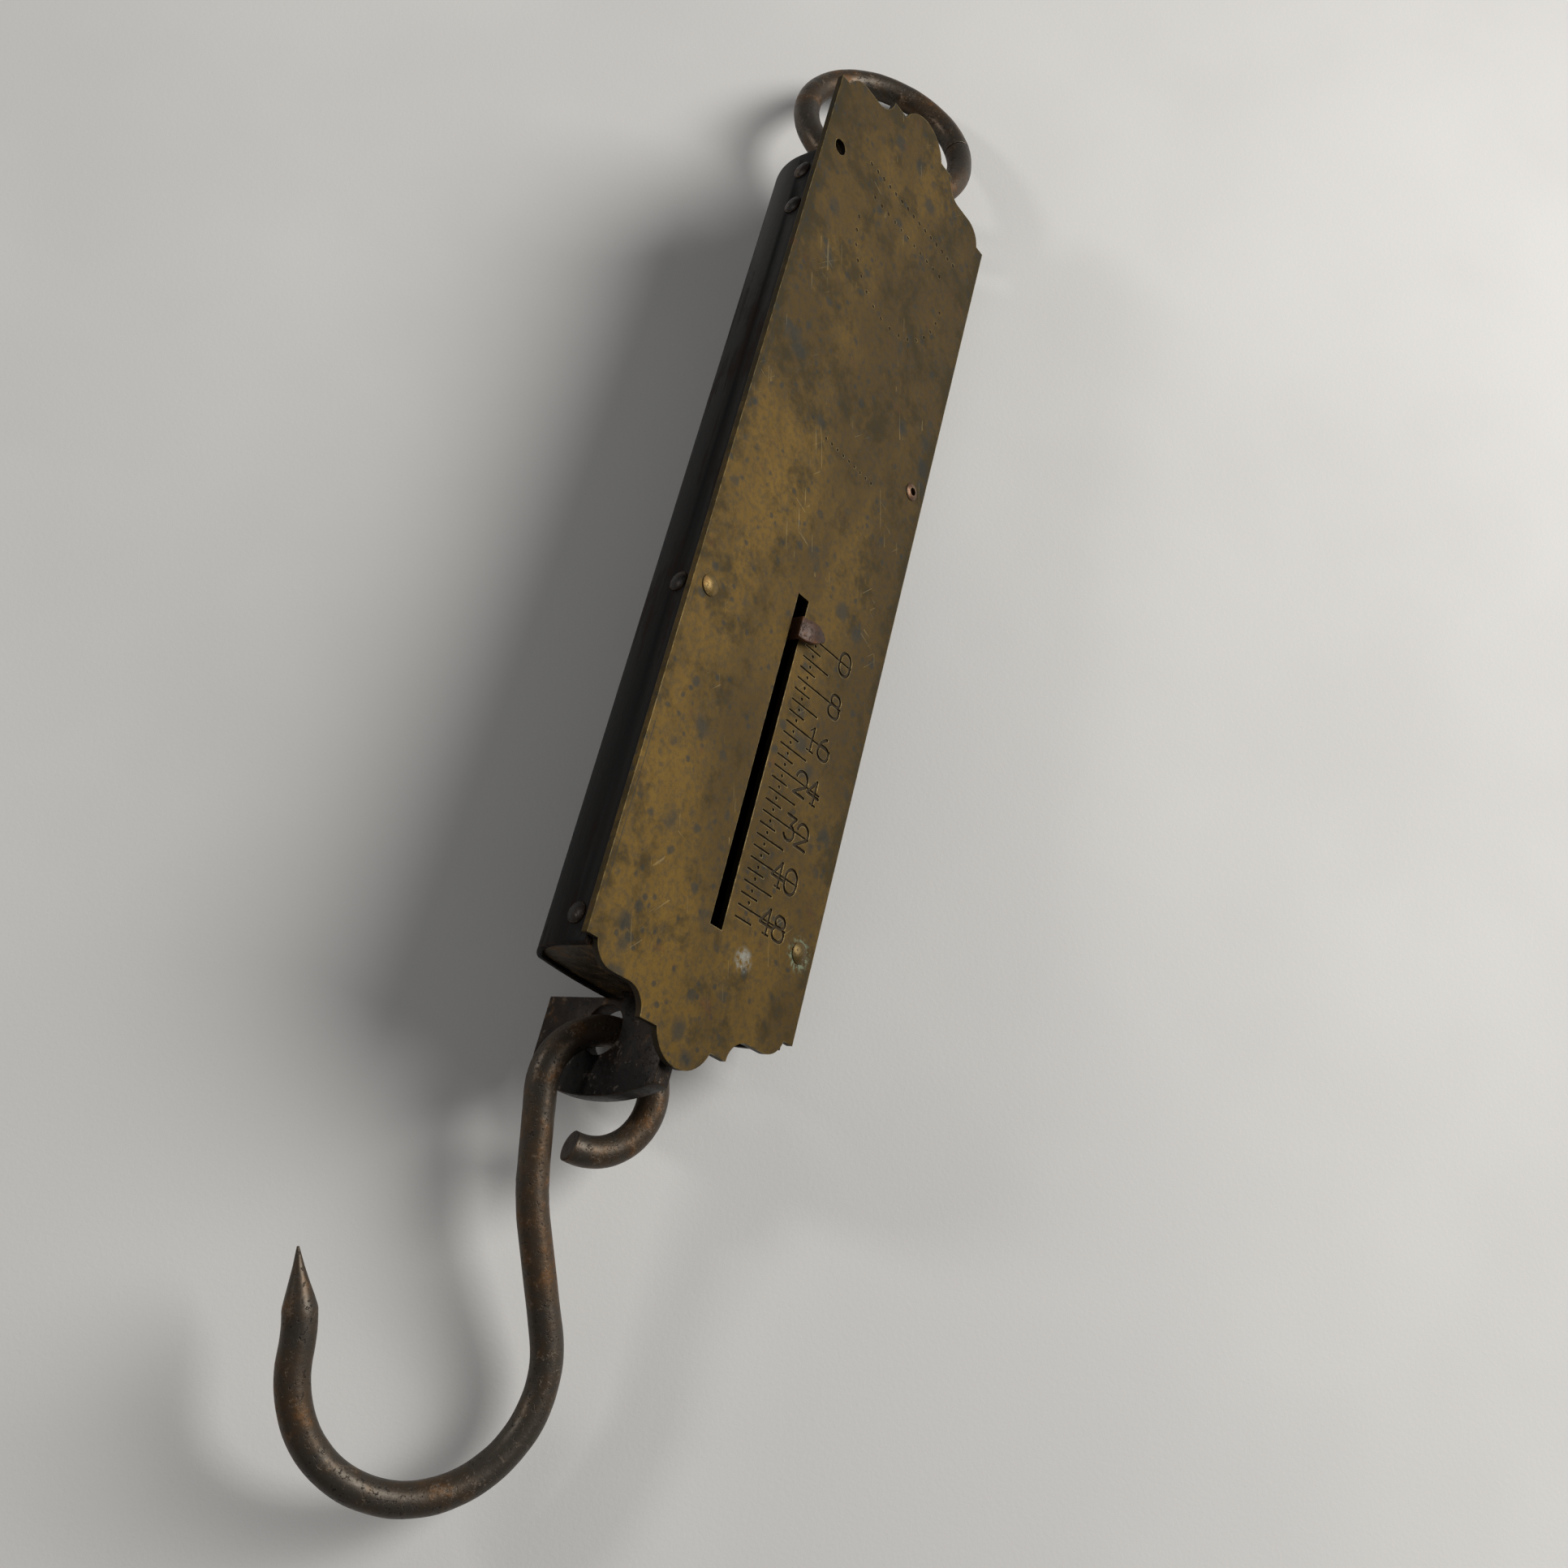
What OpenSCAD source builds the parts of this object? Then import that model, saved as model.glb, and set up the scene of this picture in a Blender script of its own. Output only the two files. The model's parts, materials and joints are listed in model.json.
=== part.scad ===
// Hanging spring balance with a scalloped brass face, an iron case, a ring and a load hook.
// Millimetres. +Z is up towards the ring, the face looks along -Y, and the origin is the centre
// of the suspension eye, from which everything else hangs.

/* [Face plate] */
// Width of the face plate
face_w = 50.8; // [44:0.1:62]
// Height between the lines through its upper and its lower corners
face_h = 172.1; // [150:0.1:206]
// Thickness of the brass
face_t = 1.2; // [0.8:0.1:1.6]
// Height of the upper corner line above the suspension eye
face_rise = 0.15; // [0:0.05:1]
// How far the scalloped ends reach past the corner line
lobe_reach = 12.4; // [10:0.1:14.5]
// Width of the pointer slot
slot_w = 3.0; // [2:0.1:3.6]
// Length of the pointer slot
slot_len = 61.8; // [40:0.1:66]
// Distance of the slot's upper end below the upper corner line
slot_drop = 99.05; // [90:0.05:106]
// Sideways place of the slot
slot_x = 0.4; // [-0.4:0.1:0.6]
// Depth of the engraved lines and numerals
groove_depth = 0.25; // [0.1:0.05:0.4]

/* [Scale] */
// Heaviest load on the scale, in pounds
top_load = 48; // [32:8:48]
// Travel for that load
scale_len = 50.8; // [34:0.1:50.8]
// Distance of the zero line below the upper end of the slot
zero_drop = 5.4; // [4.5:0.1:7]
// Distance from the slot's middle to the left end of the lines
tick_start = 3.5; // [2.5:0.1:4.5]
// Length of the line every 2 pounds
tick_short = 4.4; // [3:0.1:5]
// Length of the line every 4 pounds
tick_mid = 7.5; // [5.5:0.1:8]
// Length of the line at each numeral
tick_long = 13; // [9:0.1:14]
// Width of an engraved line
tick_w = 0.34; // [0.2:0.02:0.5]
// Height of the numerals
digit_h = 4.9; // [3.5:0.1:5.5]
// Width of one numeral
digit_w = 3.6; // [2.7:0.1:4]

/* [Case] */
// Width of the case
case_w = 48; // [40:0.1:50]
// Depth of the case behind the face plate
case_d = 18.4; // [18.2:0.1:24]
// How far the case reaches below the lower corner line of the face
case_tail = 1.25; // [0:0.05:3]
// Thickness of the sheet iron
wall = 0.9; // [0.6:0.1:1.2]
// Radius of the rounded back corners
case_r = 13; // [11:0.5:13]
// Radius of the slightly crowned back
crown_r = 75; // [60:1:200]
// Distance of the case's upper end below the suspension eye
case_drop = 15.9; // [14:0.1:20]
// How far the lower end plate sits inside the case
end_inset = 0.6; // [0.3:0.1:2]
// Thickness of the end plates
end_t = 1.0; // [0.8:0.1:1.6]

/* [Wire] */
// Diameter of the iron wire of ring and hook
wire_d = 5.2; // [4.3:0.1:5.6]
// Radius of the ring, to the middle of the wire
ring_r = 17.1; // [16:0.1:20]
// Gap where the two ends of the ring meet
ring_split = 0.35; // [0.2:0.05:1]
// Radius of the hook's upper curl
curl_r = 9.6; // [9.4:0.1:11.5]
// Radius of the hook's bowl
bowl_r = 19.2; // [17:0.1:23]
// Depth of the bowl's centre below the eye of the draw bar
bowl_drop = 55.4; // [50:0.1:70]
// Sideways offset of the bowl's centre
bowl_x = -11.1; // [-13:0.1:-9]
// Length of the sharpened tip
tip_len = 9; // [6:0.5:12]

/* [Draw gear] */
// Thickness of the draw bar
bar_t = 3.2; // [2.4:0.1:3.6]
// Width of the draw bar inside the case
bar_w = 8; // [6:0.1:9]
// Width of the eye at its lower end
tab_w = 29; // [24:0.5:32]
// Backward offset of that eye from the spring's axis
tab_y = 6.6; // [6:0.1:7.5]
// Height of the eye from shoulder to rim
tab_h = 16.4; // [16:0.1:18]
// Radius of the curved rim
tab_r = 37.5; // [30:0.5:60]
// Play of the hook's wire in its hole
hook_play = 3.4; // [3.2:0.1:3.8]
// Distance of that hole below the shoulder
hole_drop = 5.4; // [5.3:0.1:6.5]
// Thickness of the suspension plate
eye_t = 2.4; // [2:0.1:2.8]
// Play of the ring's wire in its hole
ring_play = 4.8; // [4.4:0.1:5.4]
// Width of the suspension plate
eye_w = 17.4; // [16:0.1:17.6]

/* [Spring] */
// Diameter of the spring wire
spring_wire = 2.4; // [1.6:0.1:2.4]
// Mean diameter of the coils
spring_mean = 14.1; // [12:0.1:14.1]
// Number of coils
spring_turns = 28; // [16:1:28]

/* [Fasteners] */
// Diameter of the rivet holes in the face
rivet_hole = 3.0; // [2.4:0.1:3.2]
// Diameter of a rivet's head
rivet_head = 3.7; // [3.4:0.1:4.5]
// Thickness of the strip that carries the upper left hole
lug_t = 1.2; // [0.8:0.1:1.4]
// Diameter of the pins through the spring plugs
pin_d = 2.4; // [1.6:0.1:3]

/* [Hidden] */
$fn = 48;

// clearances
sheet_gap = 0.05;      // between pieces of one body that lie against each other
slide_gap = 0.35;      // round what slides or turns
coil_gap = 0.05;       // between closed coils
eps = 0.01;

// places along Y, from the spring's axis at y = 0
face_back = -9;
face_front = face_back - face_t;

// heights along Z
face_top = face_rise;
face_bottom = face_top - face_h;
slot_top = face_top - slot_drop;
slot_bottom = slot_top - slot_len;
zero_z = slot_top - zero_drop;
per_pound = scale_len / top_load;
case_top = -case_drop;
case_bottom = face_bottom - case_tail;
case_len = case_top - case_bottom;
shoulder_gap = 0.4;    // between the case's lower end and the shoulders of the draw bar
shoulder_z = case_bottom - shoulder_gap;
end_top_z = case_top - end_t;
end_bottom_z = case_bottom + end_inset;
hook_z = shoulder_z - hole_drop;
hook_y = tab_y;
hook_hole = wire_d + hook_play;
eye_hole = wire_d + ring_play;

// spring and plugs
coil_pitch = spring_wire + coil_gap;
plug_r = (spring_mean - spring_wire) / 2 - slide_gap;
plug_len = 8;
plug_rest = 1;         // how far a plate's tail stops short of the plug's end
pin_share = 0.6;       // the pin crosses a plug at this share of its length
pin_short = 1.6;       // how much shorter than the plug is wide
flange_over = 0.9;     // flange past the middle of the wire
flange_r = spring_mean / 2 + flange_over;
flange_t = 1.6;
spring_room = 6.2;     // between the upper end plate and the upper flange
spring_top = end_top_z - flange_t - spring_room;
spring_len = spring_turns * coil_pitch + spring_wire;
spring_bottom = spring_top - spring_len;
upper_seat = spring_top + sheet_gap;
lower_seat = spring_bottom - sheet_gap;
coil_sides = 6;
coil_steps = 12;

// rest attitudes of the two free wires
ring_lean = 35.4;
ring_pitch = 13.2;
ring_seat = 0.35;      // how far the ring's wire sits behind the eye's centre
split_angle = 20;      // place of the ring's split above its middle
hook_lean = 22.2;
hook_pitch = 7.4;

// face fastenings: [x, height below the upper corner line], x from the sides of the case
rivet_in = 2.6;
empty_in = 3;
rivet_rise = 15.05;    // lowest rivet above the lower corner line
upper_left = [empty_in - case_w / 2, 13.95];
upper_right = [case_w / 2 - rivet_in, 62.55];
lower_left = [rivet_in - case_w / 2, 110.05];
lower_right = [case_w / 2 - rivet_in, face_h - rivet_rise];
lug_len = 9;
lug_w = 5.4;
lug_d = 5;
face_rivet_d = rivet_hole - 2 * sheet_gap;
face_rivet_depth = 1.8; // how far the face's rivets go into the lugs
face_grip = face_t + face_rivet_depth;
face_head_h = 0.7;
eyelet_head_h = 0.5;
eyelet_bore = 1.6;
side_rivet_d = 2.2;
side_rivet_y = face_back + 3.5;
side_rivet_depth = 3.4;
side_head_d = 3.6;
side_head_h = 0.6;
tail_h = 0.5;          // spread tail of an end plate's rivet
tail_over = 0.9;

// ears of the end plates, and the heights of the rivets that hold them
ear_w = 4.6;
ear_len = 6;
ear_gap = 0.3;         // behind the strip of the upper left lug
ear_y = face_back + lug_t + ear_gap + ear_w / 2;
end_rivet_z = [end_top_z - ear_len / 2 - ear_gap, end_bottom_z + end_t + ear_len / 2 + ear_gap];

// the upper left hole stands above the case: its lug sits below the ears, with a strip up to the hole
lug_space = 1.4;
strip_over = 3.2;      // strip past the middle of the hole
lug_drop = face_top - upper_left[1] - end_top_z + ear_len + lug_space + lug_len / 2;

pointer_t = 1.0;
pointer_w = 4.0;
pointer_reach = 6.4;
pointer_lift = 0.6;
pointer_foot = 2.2;
pointer_rivet_d = 1.2;
pointer_sag = 0.9;     // the stem's middle below the zero line
pointer_z = zero_z - pointer_sag;
pointer_tip = 1;       // width of the tongue's end
rivet_lip = 0.5;       // heads of the small rivet, height and how much wider

// rest of the hook
cut_end = -100;        // where the wire is cut off
curl_end = 194.8;      // where the shank leaves the curl
curl_x = 1.4;          // middle of the curl, right of the draw bar's eye
hook_lift = 0.2;       // the wire above the eye's centre
knee_r = 45;
bowl_start = 27.3;     // where the shank meets the bowl
bowl_stop = -172;      // where the tip arm leaves the bowl
arm_r = 22;
arm_bend = 15;
tip_d = 0.8;
weld_len = 0.6;
weld_over = 0.03;

digit_stroke = 0.55;
end_over = 0.06;        // a bent stroke is a little wider where the punch was set

brass = [0.50, 0.41, 0.22];
iron = [0.27, 0.20, 0.15];
japan = [0.10, 0.085, 0.08];
steel = [0.35, 0.34, 0.33];
rust = [0.36, 0.20, 0.12];

// ---------- shared shapes ----------

// turns a flat shape so that its x stays X and its y becomes Z, thickness t towards +Y from y0
module upright(y0, t) {
    translate([0, y0 + t, 0]) rotate([90, 0, 0]) linear_extrude(t) children();
}

// the same for a shape in the Y-Z plane: its x becomes Y and its y becomes Z, centred on x = 0
module edgeways(t) {
    translate([-t / 2, 0, 0]) rotate([90, 0, 90]) linear_extrude(t) children();
}

// round-backed case outline in plan: open side at y = 0, back at y = d
module back_outline(w, d, r, crown) {
    intersection() {
        translate([-w / 2, 0]) square([w, d]);
        translate([0, d - crown]) circle(crown, $fn = 300);
        union() {
            translate([-w / 2, 0]) square([w, d - r]);
            translate([-w / 2 + r, 0]) square([w - 2 * r, d]);
            for (side = [-1, 1]) translate([side * (w / 2 - r), d - r]) circle(r, $fn = 96);
        }
    }
}

// inside of the case in plan, with its front at front mm behind the face plate's back
module inner_outline(gap, front) {
    t = wall + gap;
    intersection() {
        translate([0, face_back]) back_outline(case_w - 2 * t, case_d - t, case_r - t, crown_r - t);
        translate([-case_w, face_back + front]) square([2 * case_w, 2 * case_d]);
    }
}

// arc of a round wire in the X-Z plane, angles measured from +X towards +Z
module wire_arc(centre, r, from, sweep) {
    translate([centre[0], 0, centre[1]]) rotate([90, 0, 0]) rotate([0, 0, from])
        rotate_extrude(angle = sweep, $fn = 96) translate([r, 0]) circle(d = wire_d, $fn = 40);
}

// straight round wire between two points of the X-Z plane, d2 being its far diameter
module wire_run(a, b, d2) {
    len = norm(b - a);
    translate([a[0], 0, a[1]]) rotate([0, atan2(b[0] - a[0], b[1] - a[1]), 0])
        cylinder(h = len, d1 = wire_d, d2 = d2, $fn = 40);
}

// weld where two stretches of the wire meet, heading being the wire's direction there
module weld(p, heading) {
    translate([p[0], 0, p[1]]) rotate([0, 90 - heading, 0])
        cylinder(h = weld_len, d = wire_d + weld_over, center = true, $fn = 40);
}

function at(centre, r, angle) = centre + r * [cos(angle), sin(angle)];

// ---------- face plate ----------

// right half of a scalloped end; x is across, y is outwards from the corner line
module scallop_half() {
    u = face_w;
    v = lobe_reach;
    step = 0.285 * v;                     // height of the flat next to the shoulder
    shoulder_r = 0.37 * v;
    cove_r = 0.34 * v;
    cove_x = 0.205 * u + cove_r;
    lobe_r = 0.135 * u;
    square([0.455 * u - shoulder_r, step]);
    intersection() {
        translate([0.455 * u - shoulder_r, step - shoulder_r]) circle(shoulder_r);
        square([u, v]);
    }
    // cove up to the step
    difference() {
        square([cove_x, step + cove_r]);
        translate([cove_x, step + cove_r]) circle(cove_r);
    }
    // centre lobe
    intersection() {
        translate([0, v - lobe_r]) circle(lobe_r);
        square([lobe_r, v]);
    }
}

module scalloped_end() {
    for (m = [0, 1]) mirror([m, 0]) scallop_half();
}

module face_outline() {
    translate([-face_w / 2, face_bottom]) square([face_w, face_h]);
    translate([0, face_top - eps]) scalloped_end();
    translate([0, face_bottom + eps]) mirror([0, 1]) scalloped_end();
}

// one punched stroke: a bar with round ends
module stroke(a, b, w = digit_stroke) {
    d = b - a;
    translate(a) rotate(atan2(d[1], d[0])) translate([0, -w / 2]) square([norm(d), w]);
    for (p = [a, b]) translate(p) circle(d = w, $fn = 16);
}

// part of a punched ring
module bent_stroke(centre, r, from, to, w = digit_stroke) {
    translate(centre) intersection() {
        difference() {
            circle(r + w / 2);
            circle(r - w / 2);
        }
        polygon(concat([[0, 0]], [for (i = [0 : 8]) 4 * r * [cos(from + (to - from) * i / 8),
            sin(from + (to - from) * i / 8)]]));
    }
    for (a = [from, to]) translate(at(centre, r, a)) circle(d = w + end_over, $fn = 16);
}

module stadium(w, h) {
    r = min(w, h) / 2;
    if (h > w) translate([-r, r - h / 2]) square([w, h - w]);
    if (w > h) translate([r - w / 2, -r]) square([w - h, h]);
    for (side = [-1, 1]) translate([side * (w / 2 - r), side * (h / 2 - r)]) circle(r);
}

// closed loop of a numeral
module loop_stroke(y, w, h) {
    translate([0, y]) difference() {
        stadium(w + digit_stroke, h + digit_stroke);
        stadium(w - digit_stroke, h - digit_stroke);
    }
}

// numeral n about the middle of its own box
module digit(n) {
    w = digit_w - digit_stroke;
    h = digit_h - digit_stroke;
    r = w / 2;
    big = 0.31 * h;
    if (n == 0) loop_stroke(0, w, h);
    if (n == 1) {
        stroke([0, -h / 2], [0, h / 2]);
        stroke([-0.3 * w, -h / 2], [0.3 * w, -h / 2], 0.6 * digit_stroke);
        stroke([-0.3 * w, 0.33 * h], [0, h / 2], 0.6 * digit_stroke);
    }
    if (n == 2) {
        bent_stroke([0, h / 2 - r], r, 170, -35);
        stroke(at([0, h / 2 - r], r, -35), [-r, -h / 2]);
        stroke([-r, -h / 2], [r, -h / 2]);
    }
    if (n == 3) {
        stroke([-0.8 * r, h / 2], [0.8 * r, h / 2]);
        stroke([0.8 * r, h / 2], [0, 0.12 * h]);
        bent_stroke([0, 0.12 * h - big], big, 90, -150);
    }
    if (n == 4) {
        stroke([0.35 * r, -h / 2], [0.35 * r, h / 2]);
        stroke([0.35 * r, h / 2], [-r, -0.14 * h]);
        stroke([-r, -0.14 * h], [1.1 * r, -0.14 * h]);
        stroke([-0.15 * r, -h / 2], [0.85 * r, -h / 2], 0.6 * digit_stroke);
    }
    if (n == 6) {
        loop_stroke(-0.21 * h, w, 0.58 * h);
        bent_stroke([h - 2 * r + 0.06, -0.19 * h], h - r, 178, 112);
    }
    if (n == 8) {
        loop_stroke(-0.23 * h, w, 0.54 * h);
        loop_stroke(0.245 * h, 0.84 * w, 0.46 * h);
    }
}

module numeral(value) {
    tens = floor(value / 10);
    if (tens > 0) translate([-digit_w + 0.1, 0]) digit(tens);
    digit(value - 10 * tens);
}

// all that is cut into the face, drawn flat
module engraving() {
    left = slot_x + tick_start;
    for (pounds = [0 : 2 : top_load + 2]) {
        long = pounds % 8 == 0 ? tick_long : pounds % 4 == 0 ? tick_mid : tick_short;
        translate([left, zero_z - pounds * per_pound - tick_w / 2])
            square([pounds > top_load ? tick_short : long, tick_w]);
    }
    for (pounds = [1 : 2 : top_load])
        translate([left + tick_short / 2 + 0.3, zero_z - pounds * per_pound]) circle(0.3, $fn = 16);
    for (pounds = [0 : 8 : top_load])
        translate([left + tick_mid + 3.6, zero_z - pounds * per_pound]) numeral(pounds);
}

// punched dots: two straight rows and a hanging arch under them, and a short row lower down
module punch_marks() {
    row_x = 2.6;
    for (i = [-7 : 7]) translate([row_x + 2.1 * i, face_top - 9.8]) circle(0.4, $fn = 14);
    for (i = [-5 : 5]) translate([row_x + 2.3 * i, face_top - 15.4]) circle(0.35, $fn = 14);
    for (a = [180 : 12 : 360]) translate(at([row_x, face_top - 22.5], 14.2, a)) circle(0.35, $fn = 14);
    for (i = [-4 : 4]) translate([row_x + 1.8 * i, face_top - 68.6]) circle(0.3, $fn = 14);
}

module at_face(place) {
    translate([place[0], 0, face_top - place[1]]) rotate([90, 0, 0]) children();
}

module face_plate() {
    color(brass) difference() {
        upright(face_front, face_t) face_outline();
        upright(face_front - 1, face_t + 2)
            translate([slot_x - slot_w / 2, slot_bottom]) square([slot_w, slot_len]);
        for (place = [upper_left, upper_right, lower_left, lower_right])
            at_face(place) cylinder(h = 60, d = rivet_hole, center = true);
        upright(face_front - 1, groove_depth + 1) engraving();
        upright(face_front - 1, groove_depth / 2 + 1) punch_marks();
    }
}

// ---------- case ----------

// places of the end plates' rivets, z pointing outwards
module end_rivet_spots() {
    for (z = end_rivet_z, turn = [90, -90])
        translate([sign(turn) * case_w / 2, ear_y, z]) rotate([0, turn, 0]) children();
}

// place of the rivet through the case's side into a lug, z pointing outwards
module lug_rivet_spot(place, drop = 0) {
    side = sign(place[0]);
    translate([side * case_w / 2, side_rivet_y, face_top - place[1] - drop])
        rotate([0, side * 90, 0]) children();
}

module side_hole() {
    depth = wall + 2 * sheet_gap + side_rivet_depth;
    translate([0, 0, -depth]) cylinder(h = depth + 2, d = side_rivet_d + 2 * sheet_gap);
}

module case_shell() {
    color(japan) difference() {
        translate([0, 0, case_bottom]) linear_extrude(case_len) difference() {
            translate([0, face_back]) back_outline(case_w, case_d, case_r, crown_r);
            inner_outline(0, -1);
            translate([-case_w / 2 + wall, face_back - 1]) square([case_w - 2 * wall, 2]);
            translate([-case_w, face_back - 1]) square([2 * case_w, 1 + sheet_gap]);
        }
        end_rivet_spots() side_hole();
        lug_rivet_spot(upper_left, lug_drop) side_hole();
        for (place = [upper_right, lower_left, lower_right]) lug_rivet_spot(place) side_hole();
    }
}

// end plate with two ears bent along the side walls; dir is where the ears point
module end_plate(z, dir, slot_t) {
    difference() {
        union() {
            translate([0, 0, z]) linear_extrude(end_t) inner_outline(sheet_gap, lug_t + ear_gap);
            for (side = [-1, 1])
                translate([side * (case_w / 2 - wall - sheet_gap - end_t / 2), ear_y,
                    z + end_t / 2 + dir * ear_len / 2])
                    cube([end_t, ear_w, ear_len + end_t], center = true);
        }
        translate([0, 0, z]) cube([slot_t + 2 * slide_gap, bar_w + 2 * slide_gap, 4 * end_t], center = true);
        end_rivet_spots() side_hole();
    }
}

module top_end_plate() {
    color(iron) end_plate(end_top_z, -1, eye_t);
}

module bottom_end_plate() {
    color(iron) end_plate(end_bottom_z, 1, bar_t);
}

// ---------- suspension plate and ring ----------

module suspension_plate() {
    tail = plug_len - plug_rest - spring_top;
    shoulder = case_top + sheet_gap;
    color(iron) difference() {
        edgeways(eye_t) {
            circle(eye_w / 2);
            translate([-eye_w / 2, shoulder]) square([eye_w, -shoulder]);
            translate([-bar_w / 2, -tail]) square([bar_w, tail]);
        }
        rotate([0, 90, 0]) cylinder(h = 20, d = eye_hole, center = true);
        plug_pin_place(upper_seat, -1) cylinder(h = 20, d = pin_d + 2 * sheet_gap, center = true);
    }
}

module hanging_ring() {
    color(iron) translate([0, ring_seat, 0]) rotate([0, 0, -ring_lean]) rotate([-ring_pitch, 0, 0])
        translate([0, 0, ring_r]) difference() {
            rotate([90, 0, 0]) rotate_extrude($fn = 120)
                translate([ring_r, 0]) circle(d = wire_d, $fn = 40);
            rotate([0, -split_angle, 0]) translate([ring_r, 0, 0])
                cube([wire_d + 2, wire_d + 2, ring_split], center = true);
        }
}

// ---------- spring and its plugs ----------

function coil_point(i) = let (a = 360 * i / coil_steps)
    [spring_mean / 2 * cos(a), spring_mean / 2 * sin(a), spring_wire / 2 + coil_pitch * i / coil_steps];

module main_spring() {
    rings = spring_turns * coil_steps;
    points = [for (i = [0 : rings]) let (a = 360 * i / coil_steps, c = coil_point(i))
        for (k = [0 : coil_sides - 1]) let (b = 360 * (k + 0.5) / coil_sides)
            c + spring_wire / 2 * [cos(b) * cos(a), cos(b) * sin(a), sin(b)]];
    sides = [for (i = [0 : rings - 1], k = [0 : coil_sides - 1]) let (n = (k + 1) % coil_sides)
        [i * coil_sides + k, i * coil_sides + n, (i + 1) * coil_sides + n, (i + 1) * coil_sides + k]];
    start = [for (k = [coil_sides - 1 : -1 : 0]) k];
    end = [for (k = [0 : coil_sides - 1]) rings * coil_sides + k];
    color(steel) translate([0, 0, spring_bottom])
        polyhedron(points = points, faces = concat(sides, [start, end]), convexity = 10);
}

// pin through a plug whose flange lies at height z and whose body points towards dir
module plug_pin_place(z, dir) {
    translate([0, 0, z + dir * pin_share * plug_len]) rotate([0, 90, 0]) children();
}

module spring_plug(z, dir, slit) {
    difference() {
        union() {
            translate([0, 0, dir > 0 ? z : z - plug_len]) cylinder(h = plug_len, r = plug_r);
            translate([0, 0, dir > 0 ? z - flange_t : z]) cylinder(h = flange_t, r = flange_r);
        }
        cube([slit + 2 * sheet_gap, bar_w + 2 * sheet_gap, 1000], center = true);
        plug_pin_place(z, dir) cylinder(h = 20, d = pin_d + 2 * sheet_gap, center = true);
    }
}

module upper_spring_plug() {
    color(steel) spring_plug(upper_seat, -1, eye_t);
}

module lower_spring_plug() {
    color(steel) spring_plug(lower_seat, 1, bar_t);
}

module plug_pin(z, dir) {
    plug_pin_place(z, dir) cylinder(h = 2 * plug_r - pin_short, d = pin_d, center = true);
}

module upper_plug_pin() {
    color(steel) plug_pin(upper_seat, -1);
}

module lower_plug_pin() {
    color(steel) plug_pin(lower_seat, 1);
}

// ---------- draw bar, pointer and hook ----------

module draw_bar() {
    bar_top = spring_bottom + plug_len - plug_rest;
    rim_z = shoulder_z - tab_h;
    color(iron) difference() {
        edgeways(bar_t) {
            translate([-bar_w / 2, shoulder_z - 2]) square([bar_w, bar_top - shoulder_z + 2]);
            intersection() {
                translate([tab_y - tab_w / 2, rim_z - 1]) square([tab_w, tab_h + 1]);
                translate([tab_y, rim_z + tab_r]) circle(tab_r, $fn = 160);
            }
        }
        translate([0, hook_y, hook_z]) rotate([0, 90, 0]) cylinder(h = 20, d = hook_hole, center = true);
        plug_pin_place(lower_seat, 1) cylinder(h = 20, d = pin_d + 2 * sheet_gap, center = true);
        translate([slot_x - pointer_t / 2 - sheet_gap, -bar_w / 2 - 1, pointer_z - pointer_w / 2 - sheet_gap])
            cube([pointer_t + 2 * sheet_gap, pointer_foot + 1, pointer_w + 2 * sheet_gap]);
        pointer_rivet_place() cylinder(h = 20, d = pointer_rivet_d + 2 * sheet_gap, center = true);
    }
}

module pointer_rivet_place() {
    translate([0, -bar_w / 2 + pointer_foot / 2, pointer_z]) rotate([0, 90, 0]) children();
}

module pointer() {
    stem_back = -bar_w / 2 + pointer_foot - sheet_gap;
    tongue_front = face_front - pointer_lift - pointer_t;
    color(rust) difference() {
        union() {
            translate([slot_x - pointer_t / 2, tongue_front, pointer_z - pointer_w / 2])
                cube([pointer_t, stem_back - tongue_front, pointer_w]);
            upright(tongue_front, pointer_t) polygon([
                [slot_x - pointer_t / 2, pointer_z - pointer_w / 2],
                [slot_x + pointer_reach, zero_z - pointer_tip / 2],
                [slot_x + pointer_reach, zero_z + pointer_tip / 2],
                [slot_x - pointer_t / 2, pointer_z + pointer_w / 2]]);
        }
        pointer_rivet_place() cylinder(h = 20, d = pointer_rivet_d + 2 * sheet_gap, center = true);
    }
}

module pointer_rivet() {
    color(iron) pointer_rivet_place() {
        cylinder(h = bar_t + rivet_lip, d = pointer_rivet_d, center = true);
        for (side = [-1, 1]) translate([0, 0, side * (bar_t / 2 + sheet_gap + rivet_lip / 2)])
            cylinder(h = rivet_lip, d = pointer_rivet_d + 2 * rivet_lip, center = true);
    }
}

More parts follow.
